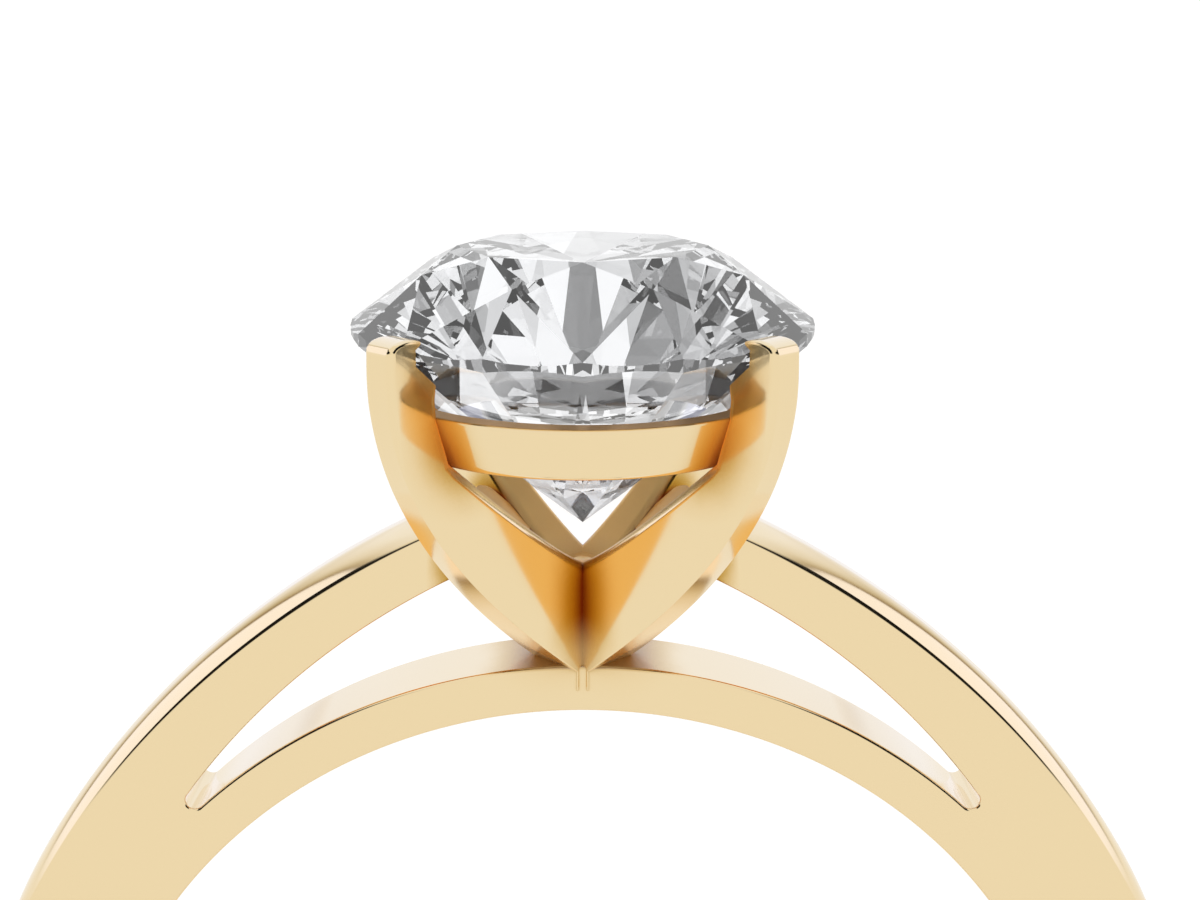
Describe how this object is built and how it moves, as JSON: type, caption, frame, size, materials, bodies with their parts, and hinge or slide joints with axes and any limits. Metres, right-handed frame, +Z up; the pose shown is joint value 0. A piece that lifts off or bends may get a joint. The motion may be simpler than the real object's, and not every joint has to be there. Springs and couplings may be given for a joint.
{
  "type": "solitaire engagement ring",
  "caption": "Slim yellow gold cathedral ring with an open bridge under the head and a round brilliant-cut stone in diagonal prongs, laid on its side.",
  "frame": {"origin": "middle of the laid ring's box in plan, on the surface that it lies on", "axes": "+Z up from that surface, +Y from the foot of the hoop towards the stone, +X across the ring; the finger hole's axis leans from +Z towards -Y by about 6.7 degrees"},
  "size_m": [0.0218, 0.027, 0.0074],
  "materials": {
    "gold": "polished 18 ct yellow gold",
    "diamond": "polished, faceted and colourless"
  },
  "bodies": {
    "root": {"ring_mount": "gold", "centre_stone": "diamond"}
  },
  "joints": []
}
